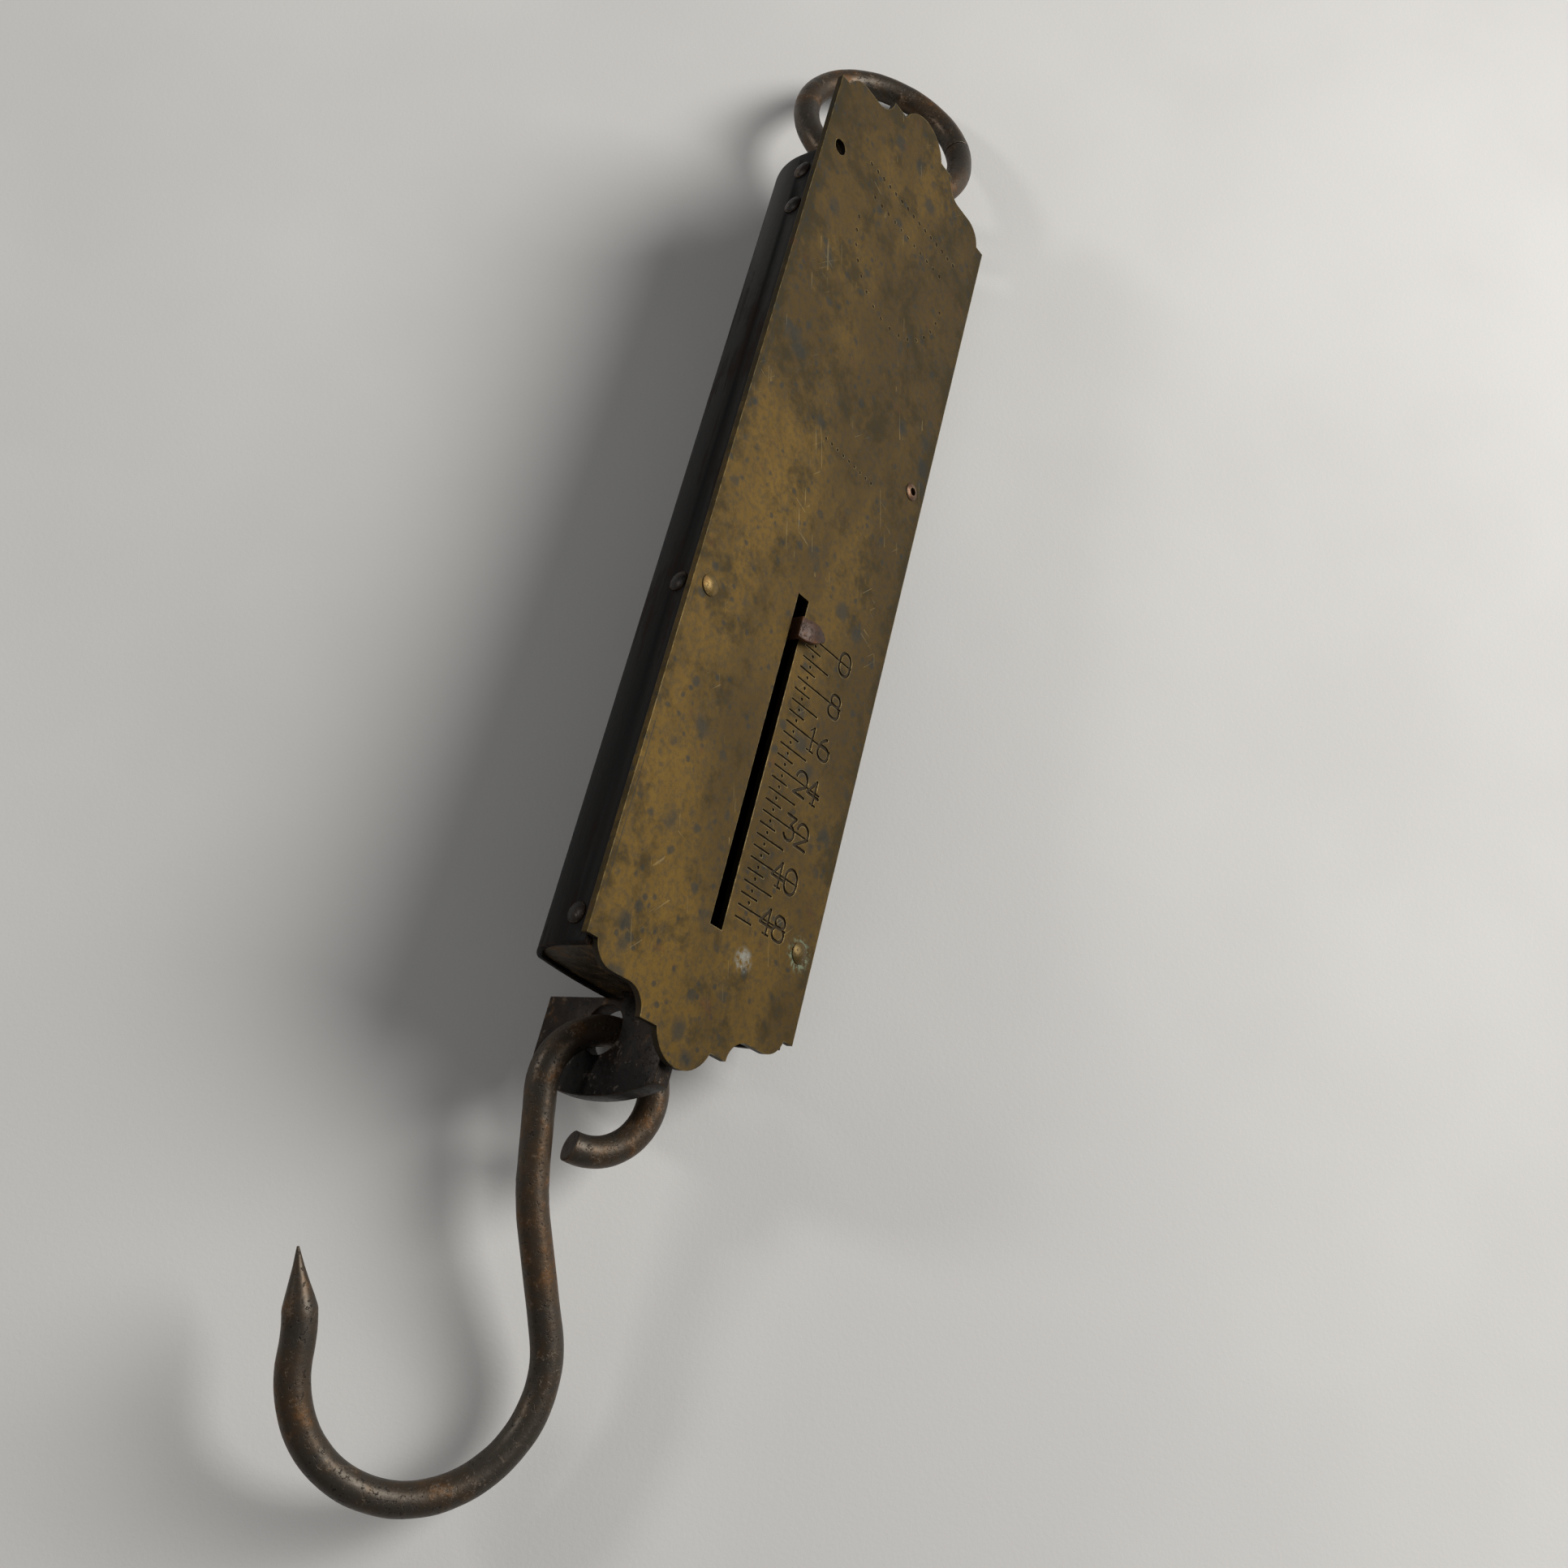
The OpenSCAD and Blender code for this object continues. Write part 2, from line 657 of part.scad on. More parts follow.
// the hook in its own plane: curl through the draw bar's eye, a shank with a slight knee, bowl and tip
module hook_shape() {
    curl_c = [curl_x, hook_lift - sqrt(curl_r * curl_r - curl_x * curl_x)];
    bowl_c = [bowl_x, -bowl_drop];
    a = at(curl_c, curl_r, curl_end);
    da = [-sin(curl_end), cos(curl_end)];
    c = at(bowl_c, bowl_r, bowl_start);
    dc = [sin(bowl_start), -cos(bowl_start)];
    // the two straight stretches meet at the corner k and are rounded by the knee
    k = a + da * ((c - a) * [-dc[1], dc[0]]) / (da * [-dc[1], dc[0]]);
    half_turn = acos(da * dc) / 2;
    cut = knee_r * tan(half_turn);
    knee_a = k - da * cut;
    knee_c = knee_a + knee_r * [-da[1], da[0]];
    from = atan2(knee_a[1] - knee_c[1], knee_a[0] - knee_c[0]);
    knee_b = k + dc * cut;
    wire_arc(curl_c, curl_r, cut_end, curl_end - cut_end);
    weld(a, curl_end + 90);
    wire_run(a, knee_a, wire_d);
    weld(knee_a, from + 90);
    wire_arc(knee_c, knee_r, from, 2 * half_turn);
    weld(knee_b, bowl_start - 90);
    wire_run(knee_b, c, wire_d);
    weld(c, bowl_start - 90);
    wire_arc(bowl_c, bowl_r, bowl_stop, bowl_start - bowl_stop);
    // the arm bends slightly outwards and ends in a sharpened tip
    arm_a = at(bowl_c, bowl_r, bowl_stop);
    arm_turn = bowl_stop + 180;
    arm_c = arm_a - arm_r * [cos(arm_turn), sin(arm_turn)];
    weld(arm_a, arm_turn + 90);
    wire_arc(arm_c, arm_r, arm_turn, arm_bend);
    arm_b = at(arm_c, arm_r, arm_turn + arm_bend);
    weld(arm_b, arm_turn + arm_bend + 90);
    wire_run(arm_b, arm_b + tip_len * [-sin(arm_turn + arm_bend), cos(arm_turn + arm_bend)], tip_d);
}

module load_hook() {
    color(iron) translate([0, hook_y, hook_z]) rotate([0, 0, -hook_lean]) rotate([hook_pitch, 0, 0])
        hook_shape();
}

// ---------- lugs and rivets ----------

// iron block on the inside of the case's side wall, its middle drop mm below the face's hole
module lug(place, drop = 0) {
    side = sign(place[0]);
    z = face_top - place[1];
    outer = case_w / 2 - wall - sheet_gap;
    inner_x = side > 0 ? outer - lug_w : -outer;
    difference() {
        union() {
            translate([inner_x, face_back + sheet_gap, z - drop - lug_len / 2])
                cube([lug_w, lug_d, lug_len]);
            if (drop > 0) translate([inner_x, face_back + sheet_gap, z - drop])
                cube([lug_w, lug_t, drop + strip_over]);
        }
        at_face(place) translate([0, 0, -face_back - face_rivet_depth - 2 * sheet_gap])
            cylinder(h = 20, d = rivet_hole);
        lug_rivet_spot(place, drop) side_hole();
    }
}

module upper_left_lug() {
    color(iron) lug(upper_left, lug_drop);
}

module upper_right_lug() {
    color(iron) lug(upper_right);
}

module lower_left_lug() {
    color(iron) lug(lower_left);
}

module lower_right_lug() {
    color(iron) lug(lower_right);
}

// domed head on the outside at z > 0 and a shank that goes depth mm in
module rivet(d, head_d, head_h, depth) {
    translate([0, 0, -depth]) cylinder(h = depth + 2 * sheet_gap, d = d, $fn = 32);
    translate([0, 0, sheet_gap]) intersection() {
        cylinder(h = head_h, d = head_d, $fn = 32);
        translate([0, 0, head_h - head_d * 0.9]) sphere(r = head_d * 0.9, $fn = 48);
    }
}

module side_rivet(depth) {
    rivet(side_rivet_d, side_head_d, side_head_h, depth);
}

module face_rivets() {
    color(brass) for (place = [lower_left, lower_right])
        translate([0, face_front, 0]) at_face(place) rivet(face_rivet_d, rivet_head, face_head_h, face_grip);
}

module eyelet_rivet() {
    color(brass) translate([0, face_front, 0]) at_face(upper_right) difference() {
        rivet(face_rivet_d, rivet_head, eyelet_head_h, face_grip);
        cylinder(h = 20, d = eyelet_bore, center = true, $fn = 32);
    }
}

module lug_rivets() {
    color(iron) {
        lug_rivet_spot(upper_left, lug_drop) side_rivet(wall + side_rivet_depth);
        for (place = [upper_right, lower_left, lower_right])
            lug_rivet_spot(place) side_rivet(wall + side_rivet_depth);
    }
}

module end_plate_rivets() {
    color(iron) end_rivet_spots() {
        side_rivet(wall + 2 * sheet_gap + end_t + tail_h);
        translate([0, 0, -wall - 2 * sheet_gap - end_t - tail_h])
            cylinder(h = tail_h, d = side_rivet_d + tail_over);
    }
}

face_plate();
case_shell();
top_end_plate();
bottom_end_plate();
suspension_plate();
hanging_ring();
draw_bar();
load_hook();
main_spring();
upper_spring_plug();
lower_spring_plug();
upper_plug_pin();
lower_plug_pin();
pointer();
pointer_rivet();
upper_left_lug();
upper_right_lug();
lower_left_lug();
lower_right_lug();
lug_rivets();
face_rivets();
eyelet_rivet();
end_plate_rivets();
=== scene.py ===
import json
import math
import bpy
from mathutils import Matrix, Vector

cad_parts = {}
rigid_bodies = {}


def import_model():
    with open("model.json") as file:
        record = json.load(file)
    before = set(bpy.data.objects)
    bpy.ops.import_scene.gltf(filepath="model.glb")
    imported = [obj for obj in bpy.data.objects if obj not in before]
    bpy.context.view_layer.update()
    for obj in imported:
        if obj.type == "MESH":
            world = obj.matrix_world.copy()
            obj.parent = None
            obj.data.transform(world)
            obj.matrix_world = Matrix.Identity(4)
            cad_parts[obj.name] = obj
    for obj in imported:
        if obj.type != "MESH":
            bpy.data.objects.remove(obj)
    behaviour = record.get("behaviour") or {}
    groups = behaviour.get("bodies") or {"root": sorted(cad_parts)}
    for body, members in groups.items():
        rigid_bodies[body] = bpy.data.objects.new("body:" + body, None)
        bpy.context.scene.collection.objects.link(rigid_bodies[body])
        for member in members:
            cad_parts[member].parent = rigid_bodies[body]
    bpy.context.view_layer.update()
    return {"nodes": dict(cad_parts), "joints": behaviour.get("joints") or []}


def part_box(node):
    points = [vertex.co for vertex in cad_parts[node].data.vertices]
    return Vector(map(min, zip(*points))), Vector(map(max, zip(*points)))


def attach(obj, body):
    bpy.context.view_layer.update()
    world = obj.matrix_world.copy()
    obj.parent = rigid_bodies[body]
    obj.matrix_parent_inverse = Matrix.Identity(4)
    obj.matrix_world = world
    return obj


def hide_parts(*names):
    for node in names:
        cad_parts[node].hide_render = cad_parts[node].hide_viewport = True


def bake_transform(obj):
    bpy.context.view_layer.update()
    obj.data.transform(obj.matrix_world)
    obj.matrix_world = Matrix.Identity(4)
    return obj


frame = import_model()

mm = 0.001
mergeWithin = 0.002 * mm
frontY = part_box("face_plate")[0].y  # front of the brass
print("frame loaded", len(frame["nodes"]), "nodes")


# small helpers
def deselectAll():
    if bpy.context.object and bpy.context.object.mode != "OBJECT":
        bpy.ops.object.mode_set(mode="OBJECT")
    bpy.ops.object.select_all(action="DESELECT")


def makeActive(obj):
    deselectAll()
    obj.select_set(True)
    bpy.context.view_layer.objects.active = obj


def applyPlace(obj):
    # the object's place goes into its mesh
    makeActive(obj)
    bpy.ops.object.transform_apply(location=True, rotation=True, scale=True)


def addModifier(obj, kind, **values):
    makeActive(obj)
    modifier = obj.modifiers.new(kind.lower(), kind)
    for key, value in values.items():
        setattr(modifier, key, value)
    bpy.ops.object.modifier_apply(modifier=modifier.name)


def extrudeBy(move, steps=1):
    # the selected faces, in equal steps
    for _ in range(steps):
        bpy.ops.mesh.extrude_region_move(TRANSFORM_OT_translate={"value": move / steps})


def cleanNormals(obj, smoothAngle):
    makeActive(obj)
    bpy.ops.object.mode_set(mode="EDIT")
    bpy.ops.mesh.select_all(action="SELECT")
    bpy.ops.mesh.remove_doubles(threshold=mergeWithin)
    bpy.ops.mesh.normals_make_consistent(inside=False)
    bpy.ops.object.mode_set(mode="OBJECT")
    bpy.ops.object.shade_smooth_by_angle(angle=math.radians(smoothAngle))


def copyOfNode(node, name):
    # a merged copy of a CAD node, to be finished and shown in its place
    source = frame["nodes"][node]
    makeActive(source)
    bpy.ops.object.duplicate()
    copy = bpy.context.object
    copy.name = name
    bpy.ops.object.parent_clear(type="CLEAR_KEEP_TRANSFORM")
    for key in list(copy.keys()):
        del copy[key]
    bpy.ops.object.mode_set(mode="EDIT")
    bpy.ops.mesh.select_all(action="SELECT")
    bpy.ops.mesh.remove_doubles(threshold=mergeWithin)
    bpy.ops.mesh.tris_convert_to_quads(face_threshold=0.02, shape_threshold=0.02)
    bpy.ops.mesh.dissolve_limited(angle_limit=math.radians(0.5))
    bpy.ops.object.mode_set(mode="OBJECT")
    return copy


def jointPlace(name):
    joint = next(j for j in frame["joints"] if j["name"] == name)
    return Vector(joint["pos_m"])


# node helpers for materials and groups
def newNode(tree, kind, **values):
    node = tree.nodes.new(kind)
    for key, value in values.items():
        setattr(node, key, value)
    return node


def setInput(tree, node, name, value):
    socket = node.inputs[name]
    if isinstance(value, bpy.types.NodeSocket):
        tree.links.new(value, socket)
    elif socket.type == "RGBA" and len(value) == 3:
        socket.default_value = (*value, 1)
    else:
        socket.default_value = value


def noise(tree, vector, scale, detail=4, roughness=0.55, distortion=0.0):
    node = newNode(tree, "ShaderNodeTexNoise")
    setInput(tree, node, "Vector", vector)
    setInput(tree, node, "Scale", scale)
    setInput(tree, node, "Detail", detail)
    setInput(tree, node, "Roughness", roughness)
    setInput(tree, node, "Distortion", distortion)
    return node.outputs["Fac"]


def mathNode(tree, operation, a, b=0.0, clamp=False):
    node = newNode(tree, "ShaderNodeMath", operation=operation, use_clamp=clamp)
    setInput(tree, node, 0, a)
    if len(node.inputs) > 1:
        setInput(tree, node, 1, b)
    return node.outputs[0]


def times(tree, a, b):
    return mathNode(tree, "MULTIPLY", a, b)


def plus(tree, a, b, clamp=False):
    return mathNode(tree, "ADD", a, b, clamp)


def band(tree, value, low, high, toLow=0.0, toHigh=1.0):
    # value between low and high becomes a smooth step from toLow to toHigh
    node = newNode(tree, "ShaderNodeMapRange", interpolation_type="SMOOTHSTEP")
    setInput(tree, node, "Value", value)
    setInput(tree, node, "From Min", low)
    setInput(tree, node, "From Max", high)
    setInput(tree, node, "To Min", toLow)
    setInput(tree, node, "To Max", toHigh)
    return node.outputs["Result"]


def mixColour(tree, factor, a, b):
    node = newNode(tree, "ShaderNodeMix", data_type="RGBA")
    setInput(tree, node, 0, factor)
    setInput(tree, node, 6, a)
    setInput(tree, node, 7, b)
    return node.outputs[2]


def placed(tree, vector, scale=(1, 1, 1), shift=(0, 0, 0)):
    node = newNode(tree, "ShaderNodeMapping")
    setInput(tree, node, "Vector", vector)
    setInput(tree, node, "Scale", scale)
    setInput(tree, node, "Location", shift)
    return node.outputs["Vector"]


def spotMask(tree, vector, centre, inner, outer):
    # 1 within inner metres of a place, 0 beyond outer
    node = newNode(tree, "ShaderNodeVectorMath", operation="DISTANCE")
    setInput(tree, node, 0, vector)
    setInput(tree, node, 1, centre)
    return band(tree, node.outputs["Value"], inner, outer, 1.0, 0.0)


def newGroup(name, inputs, outputs):
    group = bpy.data.node_groups.new(name, "ShaderNodeTree")
    for label, kind, value in inputs:
        socket = group.interface.new_socket(name=label, in_out="INPUT", socket_type=kind)
        if value is not None:
            socket.default_value = value
    for label, kind in outputs:
        group.interface.new_socket(name=label, in_out="OUTPUT", socket_type=kind)
    return group, newNode(group, "NodeGroupInput").outputs, newNode(group, "NodeGroupOutput").inputs


def useGroup(tree, group, **values):
    node = newNode(tree, "ShaderNodeGroup", node_tree=group)
    for key, value in values.items():
        setInput(tree, node, key, value)
    return node.outputs


# shared effects
def edgeWearAndHighlightGroup():
    # rubbed bare edges, and on the brass face also a painted highlight along them: where the rounded normal
    # leaves the flat one
    group, given, out = newGroup(
        "edgeWearAndHighlight",
        [("Radius", "NodeSocketFloat", 0.4 * mm), ("Vector", "NodeSocketVector", None),
         ("Breakup", "NodeSocketFloat", 900.0)],
        [("Mask", "NodeSocketFloat"), ("Normal", "NodeSocketVector")])
    bevel = newNode(group, "ShaderNodeBevel", samples=6)
    setInput(group, bevel, "Radius", given["Radius"])
    flat = newNode(group, "ShaderNodeNewGeometry").outputs["Normal"]
    dot = newNode(group, "ShaderNodeVectorMath", operation="DOT_PRODUCT")
    setInput(group, dot, 0, bevel.outputs["Normal"])
    setInput(group, dot, 1, flat)
    edge = band(group, dot.outputs["Value"], 0.995, 0.86)
    broken = band(group, noise(group, given["Vector"], given["Breakup"], 3, 0.6), 0.38, 0.62)
    mask = times(group, edge, plus(group, times(group, broken, 0.75), 0.25))
    group.links.new(mask, out["Mask"])
    group.links.new(bevel.outputs["Normal"], out["Normal"])
    return group


def scratchGroup():
    # fine straight scratches lying one way, each only a few millimetres long
    group, given, out = newGroup(
        "scratches",
        [("Vector", "NodeSocketVector", None), ("Turn", "NodeSocketFloat", 0.0),
         ("Share", "NodeSocketFloat", 0.5)],
        [("Mask", "NodeSocketFloat")])
    turned = newNode(group, "ShaderNodeVectorRotate", rotation_type="Y_AXIS")
    setInput(group, turned, "Vector", given["Vector"])
    setInput(group, turned, "Angle", given["Turn"])
    stretched = placed(group, turned.outputs["Vector"], scale=(1, 1, 0.035))
    line = noise(group, stretched, 2600, 1, 0.4)
    thin = band(group, line, 0.70, 0.76)
    where = noise(group, given["Vector"], 95, 2, 0.5)
    share = mathNode(group, "GREATER_THAN", plus(group, where, given["Share"]), 1.0)
    group.links.new(times(group, thin, share), out["Mask"])
    return group


def rustGroup():
    # old iron: a dark and brown skin, orange bloom, black pits and a few bright specks
    pitBlack = (0.012, 0.009, 0.008)
    speckGrey = (0.21, 0.17, 0.13)
    group, given, out = newGroup(
        "oldIron",
        [("Vector", "NodeSocketVector", None), ("Dark", "NodeSocketColor", (0.03, 0.024, 0.02, 1)),
         ("Brown", "NodeSocketColor", (0.08, 0.045, 0.025, 1)),
         ("Orange", "NodeSocketColor", (0.22, 0.09, 0.025, 1)),
         ("Bloom", "NodeSocketFloat", 0.5), ("Pitting", "NodeSocketFloat", 0.5)],
        [("Color", "NodeSocketColor"), ("Roughness", "NodeSocketFloat"), ("Height", "NodeSocketFloat")])
    large = noise(group, given["Vector"], 70, 4, 0.6, 0.3)
    middle = noise(group, given["Vector"], 330, 5, 0.62, 0.2)
    fine = noise(group, given["Vector"], 1500, 4, 0.6)
    brownShare = band(group, plus(group, times(group, large, 0.6), times(group, middle, 0.4)), 0.42, 0.58)
    skin = mixColour(group, brownShare, given["Dark"], given["Brown"])
    bloomAt = plus(group, times(group, large, 0.45), times(group, middle, 0.55))
    bloom = band(group, plus(group, bloomAt, times(group, given["Bloom"], 0.16)), 0.57, 0.68)
    rusty = mixColour(group, bloom, skin, given["Orange"])
    pit = band(group, fine, 0.56, 0.66)
    pitted = mixColour(group, times(group, pit, given["Pitting"]), rusty, pitBlack)
    bright = band(group, times(group, fine, middle), 0.31, 0.37)
    colour = mixColour(group, times(group, bright, 0.35), pitted, speckGrey)
    group.links.new(colour, out["Color"])
    rough = plus(group, times(group, bloom, 0.25), times(group, fine, 0.3))
    group.links.new(plus(group, rough, 0.28, clamp=True), out["Roughness"])
    height = plus(group, times(group, middle, 0.7), times(group, pit, times(group, given["Pitting"], -0.45)))
    group.links.new(plus(group, height, times(group, bloom, 0.12)), out["Height"])
    return group


edgeWearAndHighlight = edgeWearAndHighlightGroup()
scratches = scratchGroup()
oldIron = rustGroup()
print("shader groups ready")


def newMaterial(name):
    material = bpy.data.materials.new(name)
    material.use_nodes = True
    tree = material.node_tree
    shader = tree.nodes["Principled BSDF"]
    vector = newNode(tree, "ShaderNodeTexCoord").outputs["Object"]
    return material, tree, shader, vector


def addBump(tree, shader, height, strength, distance, normal=None):
    bump = newNode(tree, "ShaderNodeBump")
    setInput(tree, bump, "Height", height)
    bump.inputs["Strength"].default_value = strength
    bump.inputs["Distance"].default_value = distance
    if normal is not None:
        tree.links.new(normal, bump.inputs["Normal"])
    tree.links.new(bump.outputs["Normal"], shader.inputs["Normal"])


# the brass face: colours, and marks with their places and sizes
brassLook = {
    "olive": (0.062, 0.037, 0.008),
    "warm": (0.128, 0.074, 0.013),
    "grey": (0.032, 0.023, 0.008),
    "stain": (0.026, 0.027, 0.023),
    "red": (0.085, 0.036, 0.013),
    "groove": (0.022, 0.016, 0.010),
    "bare": (0.46, 0.35, 0.16),
    "verdigris": (0.20, 0.25, 0.17),
    "solder": (0.30, 0.31, 0.28),
}
faceMarks = {
    "solderPlace": (8.5 * mm, frontY, -163.2 * mm), "solderSize": (1.2 * mm, 2.6 * mm),
    "greenPlace": (21.4 * mm, frontY, -157.2 * mm), "greenSize": (1.8 * mm, 3.6 * mm),
    "scribedX": -24.3 * mm,
    "stains": ((120, 0.12, 0.55), (240, 0.14, 0.56), (430, 0.14, 0.56)),  # cells per metre, solid part, limit
    "scratches": ((0.35, 0.42), (-0.75, 0.40), (1.25, 0.38)),  # turn in radians, share
}


def stainMask(tree, vector, scale, solid, limit):
    # round spots with ragged edges, in some places only
    shake = newNode(tree, "ShaderNodeTexNoise")
    setInput(tree, shake, "Vector", vector)
    setInput(tree, shake, "Scale", scale * 2.2)
    small = newNode(tree, "ShaderNodeVectorMath", operation="SCALE")
    setInput(tree, small, 0, shake.outputs["Color"])
    small.inputs["Scale"].default_value = 0.30 / scale
    wobble = newNode(tree, "ShaderNodeVectorMath", operation="ADD")
    setInput(tree, wobble, 0, vector)
    setInput(tree, wobble, 1, small.outputs[0])
    cells = newNode(tree, "ShaderNodeTexVoronoi", feature="F1")
    setInput(tree, cells, "Vector", wobble.outputs[0])
    setInput(tree, cells, "Scale", scale)
    spot = band(tree, cells.outputs["Distance"], solid, 0.30, 1.0, 0.0)
    return times(tree, spot, band(tree, noise(tree, vector, scale * 0.4, 2, 0.5), 0.47, limit))


def faceBrass():
    look = brassLook
    marks = faceMarks
    material, tree, shader, vector = newMaterial("faceBrass")
    edge = useGroup(tree, edgeWearAndHighlight, Vector=vector, Radius=0.35 * mm, Breakup=700.0)
    broad = noise(tree, placed(tree, vector, scale=(1, 1, 0.55)), 34, 5, 0.6, 0.2)
    cloud = noise(tree, vector, 150, 6, 0.68, 0.1)
    grain = noise(tree, vector, 900, 5, 0.7)
    # the lower half is warmer, the top and the right edge are duller
    split = newNode(tree, "ShaderNodeSeparateXYZ")
    setInput(tree, split, 0, vector)
    high = band(tree, split.outputs["Z"], -115 * mm, -20 * mm)
    right = band(tree, split.outputs["X"], 10 * mm, 24.5 * mm)
    rim = band(tree, mathNode(tree, "ABSOLUTE", split.outputs["X"]), 21 * mm, 25.2 * mm)
    cooler = plus(tree, times(tree, high, 0.16), times(tree, right, 0.12))
    warmth = mathNode(tree, "SUBTRACT", times(tree, broad, 1.25), cooler)
    base = mixColour(tree, band(tree, warmth, 0.40, 0.78), look["olive"], look["warm"])
    dull = plus(tree, cloud, plus(tree, times(tree, high, 0.05), times(tree, rim, 0.10)))
    base = mixColour(tree, band(tree, dull, 0.48, 0.70, 0.0, 0.75), base, look["grey"])
    # round dark stains of several sizes
    for scale, solid, limit in marks["stains"]:
        stain = stainMask(tree, vector, scale, solid, limit)
        base = mixColour(tree, times(tree, stain, 0.72), base, look["stain"])
    redAt = band(tree, noise(tree, placed(tree, vector, shift=(3, 1, 2)), 210, 4, 0.6), 0.63, 0.72, 0.0, 0.5)
    base = mixColour(tree, redAt, base, look["red"])
    base = mixColour(tree, band(tree, grain, 0.42, 0.66, 0.0, 0.42), base, look["stain"])
    # fine scratches lie several ways
    lines = [useGroup(tree, scratches, Vector=vector, Turn=turn, Share=share)["Mask"]
             for turn, share in marks["scratches"]]
    scratched = mathNode(tree, "MAXIMUM", mathNode(tree, "MAXIMUM", lines[0], lines[1]), lines[2])
    base = mixColour(tree, times(tree, scratched, 0.16), base, look["bare"])
    # everything that is cut below the face is coloured darker
    inside = band(tree, mathNode(tree, "ABSOLUTE", split.outputs["X"]), 24.6 * mm, 25 * mm, 1.0, 0.0)
    sunk = times(tree, band(tree, split.outputs["Y"], frontY + 0.07 * mm, frontY + 0.14 * mm), inside)
    base = mixColour(tree, times(tree, sunk, 0.85), base, look["groove"])
    # a solder spot, and green bloom round the lower right rivet
    solder = spotMask(tree, vector, marks["solderPlace"], *marks["solderSize"])
    solder = times(tree, solder, band(tree, noise(tree, vector, 900, 3, 0.6), 0.35, 0.6))
    base = mixColour(tree, times(tree, solder, 0.6), base, look["solder"])
    green = spotMask(tree, vector, marks["greenPlace"], *marks["greenSize"])
    green = times(tree, green, band(tree, noise(tree, vector, 1300, 3, 0.6), 0.45, 0.6))
    base = mixColour(tree, times(tree, green, 0.7), base, look["verdigris"])
    # painted highlight and wear: the front edges of the brass are lightened to bare brass, partly as rubbing,
    # partly as light caught on the rounded edge
    rubbedAndHighlit = times(tree, edge["Mask"], band(tree, split.outputs["Y"], frontY + 0.07 * mm, frontY + 0.02 * mm))
    base = mixColour(tree, times(tree, rubbedAndHighlit, 0.62), base, look["bare"])
    # a scribed line runs just inside the left edge, which is rubbed bright and carries a painted highlight
    fromLine = mathNode(tree, "ABSOLUTE", plus(tree, split.outputs["X"], -marks["scribedX"]))
    broken = band(tree, noise(tree, placed(tree, vector, scale=(1, 1, 0.2)), 260, 2, 0.5), 0.42, 0.52)
    scribed = times(tree, band(tree, fromLine, 0.08 * mm, 0.16 * mm, 1.0, 0.0), broken)
    base = mixColour(tree, times(tree, scribed, 0.6), base, look["stain"])
    tree.links.new(base, shader.inputs["Base Color"])
    shader.inputs["Metallic"].default_value = 0.6
    shader.inputs["Specular IOR Level"].default_value = 0.25
    rough = band(tree, dull, 0.38, 0.70, 0.46, 0.66)
    rough = mathNode(tree, "SUBTRACT", rough, times(tree, edge["Mask"], 0.12))
    tree.links.new(rough, shader.inputs["Roughness"])
    height = plus(tree, times(tree, cloud, 0.6), times(tree, grain, 0.25))
    height = mathNode(tree, "SUBTRACT", height, times(tree, scratched, 0.25))
    addBump(tree, shader, height, 0.55, 0.22 * mm, edge["Normal"])
    return material


# dark, brown and orange skin, worn edge, then bloom, pitting, metal, wear, bump depth and edge radius
ironLooks = {
    "wireIron": ((0.062, 0.052, 0.041), (0.085, 0.056, 0.034), (0.125, 0.058, 0.02), (0.25, 0.2, 0.15),
                 0.2, 0.65, 0.6, 0.25, 0.3 * mm, 0.4 * mm),
    # painted shade: this iron's near-black skin stands for the shade on the draw bar's tab, which lies in the
    # face plate's shadow; the suspension plate and the iron rivets share it
    "barIronPaintedShade": ((0.006, 0.0045, 0.004), (0.020, 0.012, 0.007), (0.09, 0.042, 0.015), (0.15, 0.09, 0.04),
                0.1, 0.5, 0.3, 0.8, 0.3 * mm, 0.4 * mm),
    "endPlateIron": ((0.028, 0.019, 0.010), (0.085, 0.056, 0.026), (0.14, 0.075, 0.026), (0.22, 0.15, 0.07),
                     0.4, 0.4, 0.3, 0.6, 0.3 * mm, 0.4 * mm),
    "pointerRust": ((0.035, 0.016, 0.008), (0.075, 0.030, 0.012), (0.14, 0.052, 0.016), (0.16, 0.10, 0.06),
                    0.4, 0.6, 0.1, 0.3, 0.3 * mm, 0.2 * mm),
    "innerIron": ((0.05, 0.042, 0.034), (0.10, 0.07, 0.045), (0.2, 0.1, 0.04), (0.3, 0.27, 0.22),
                  0.2, 0.4, 0.6, 0.4, 0.3 * mm, 0.4 * mm),
    "springSteel": ((0.09, 0.08, 0.07), (0.13, 0.10, 0.07), (0.2, 0.11, 0.05), (0.4, 0.36, 0.3),
                    0.1, 0.3, 0.8, 0.2, 0.1 * mm, 0.4 * mm),
    "rivetBrass": ((0.09, 0.06, 0.02), (0.17, 0.11, 0.035), (0.24, 0.14, 0.045), (0.48, 0.37, 0.18),
                   0.3, 0.6, 0.6, 0.7, 0.15 * mm, 0.3 * mm),
    "eyeletMetal": ((0.10, 0.055, 0.035), (0.16, 0.085, 0.045), (0.22, 0.11, 0.05), (0.36, 0.27, 0.17),
                    0.3, 0.5, 0.6, 0.7, 0.1 * mm, 0.3 * mm),
}


